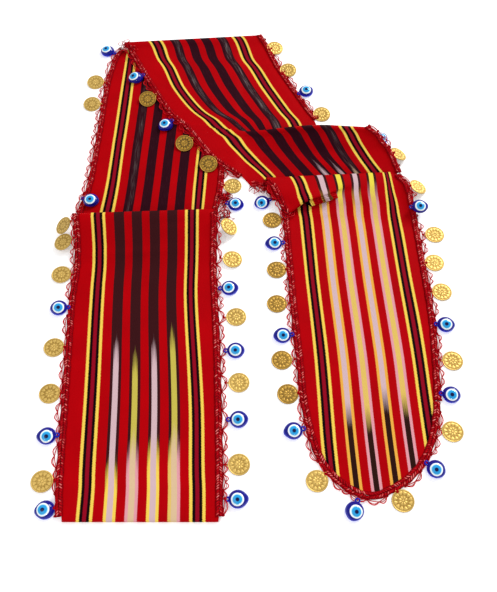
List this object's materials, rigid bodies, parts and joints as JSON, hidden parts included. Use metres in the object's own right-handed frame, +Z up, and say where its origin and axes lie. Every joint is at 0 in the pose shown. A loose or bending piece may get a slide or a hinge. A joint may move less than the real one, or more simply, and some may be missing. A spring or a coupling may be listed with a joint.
{
  "type": "sequined bandana",
  "caption": "Long striped satin headband scarf laid in folds, with crocheted edging hung with gilt coins and blue glass eye beads.",
  "frame": {"origin": "centre of the underside's bounding box, on the surface that the scarf lies on", "axes": "+Z up from the surface, +Y away from the front, along the long panels, towards the top fold, +X to the right"},
  "size_m": [0.4107, 0.6006, 0.025],
  "materials": {
    "red_satin": "warp-striped satin, red with black, yellow and plum stripes",
    "red_crochet": "crocheted metallic thread",
    "gilt_coin": "stamped gilt, satin",
    "blue_glass": "opaque glossy glass with a painted eye"
  },
  "bodies": {
    "root": {"bead_back_east_1": "blue_glass", "bead_back_west_1": "blue_glass", "bead_back_west_2": "blue_glass", "bead_bridge_east_1": "blue_glass", "bead_left_east_1": "blue_glass", "bead_left_east_2": "blue_glass", "bead_left_east_3": "blue_glass", "bead_left_east_4": "blue_glass", "bead_left_west_1": "blue_glass", "bead_left_west_2": "blue_glass", "bead_left_west_3": "blue_glass", "bead_right_east_1": "blue_glass", "bead_right_east_2": "blue_glass", "bead_right_east_3": "blue_glass", "bead_right_tip_1": "blue_glass", "bead_right_tip_2": "blue_glass", "bead_right_tip_3": "blue_glass", "bead_right_west_1": "blue_glass", "bead_right_west_2": "blue_glass", "bead_right_west_3": "blue_glass", "bead_top_east_1": "blue_glass", "bead_top_west_1": "blue_glass", "bead_top_west_2": "blue_glass", "edging_back_east": "red_crochet", "edging_back_west": "red_crochet", "edging_bridge_east": "red_crochet", "edging_left_east": "red_crochet", "edging_left_west": "red_crochet", "edging_right_east": "red_crochet", "edging_right_tip": "red_crochet", "edging_right_west": "red_crochet", "edging_top_east": "red_crochet", "edging_top_west": "red_crochet", "panel_back": "red_satin", "panel_bridge": "red_satin", "panel_left": "red_satin", "panel_right": "red_satin", "panel_top": "red_satin", "pleat_bridge": "red_satin", "pleat_left": "red_satin", "pleat_right": "red_satin"}
  },
  "joints": []
}
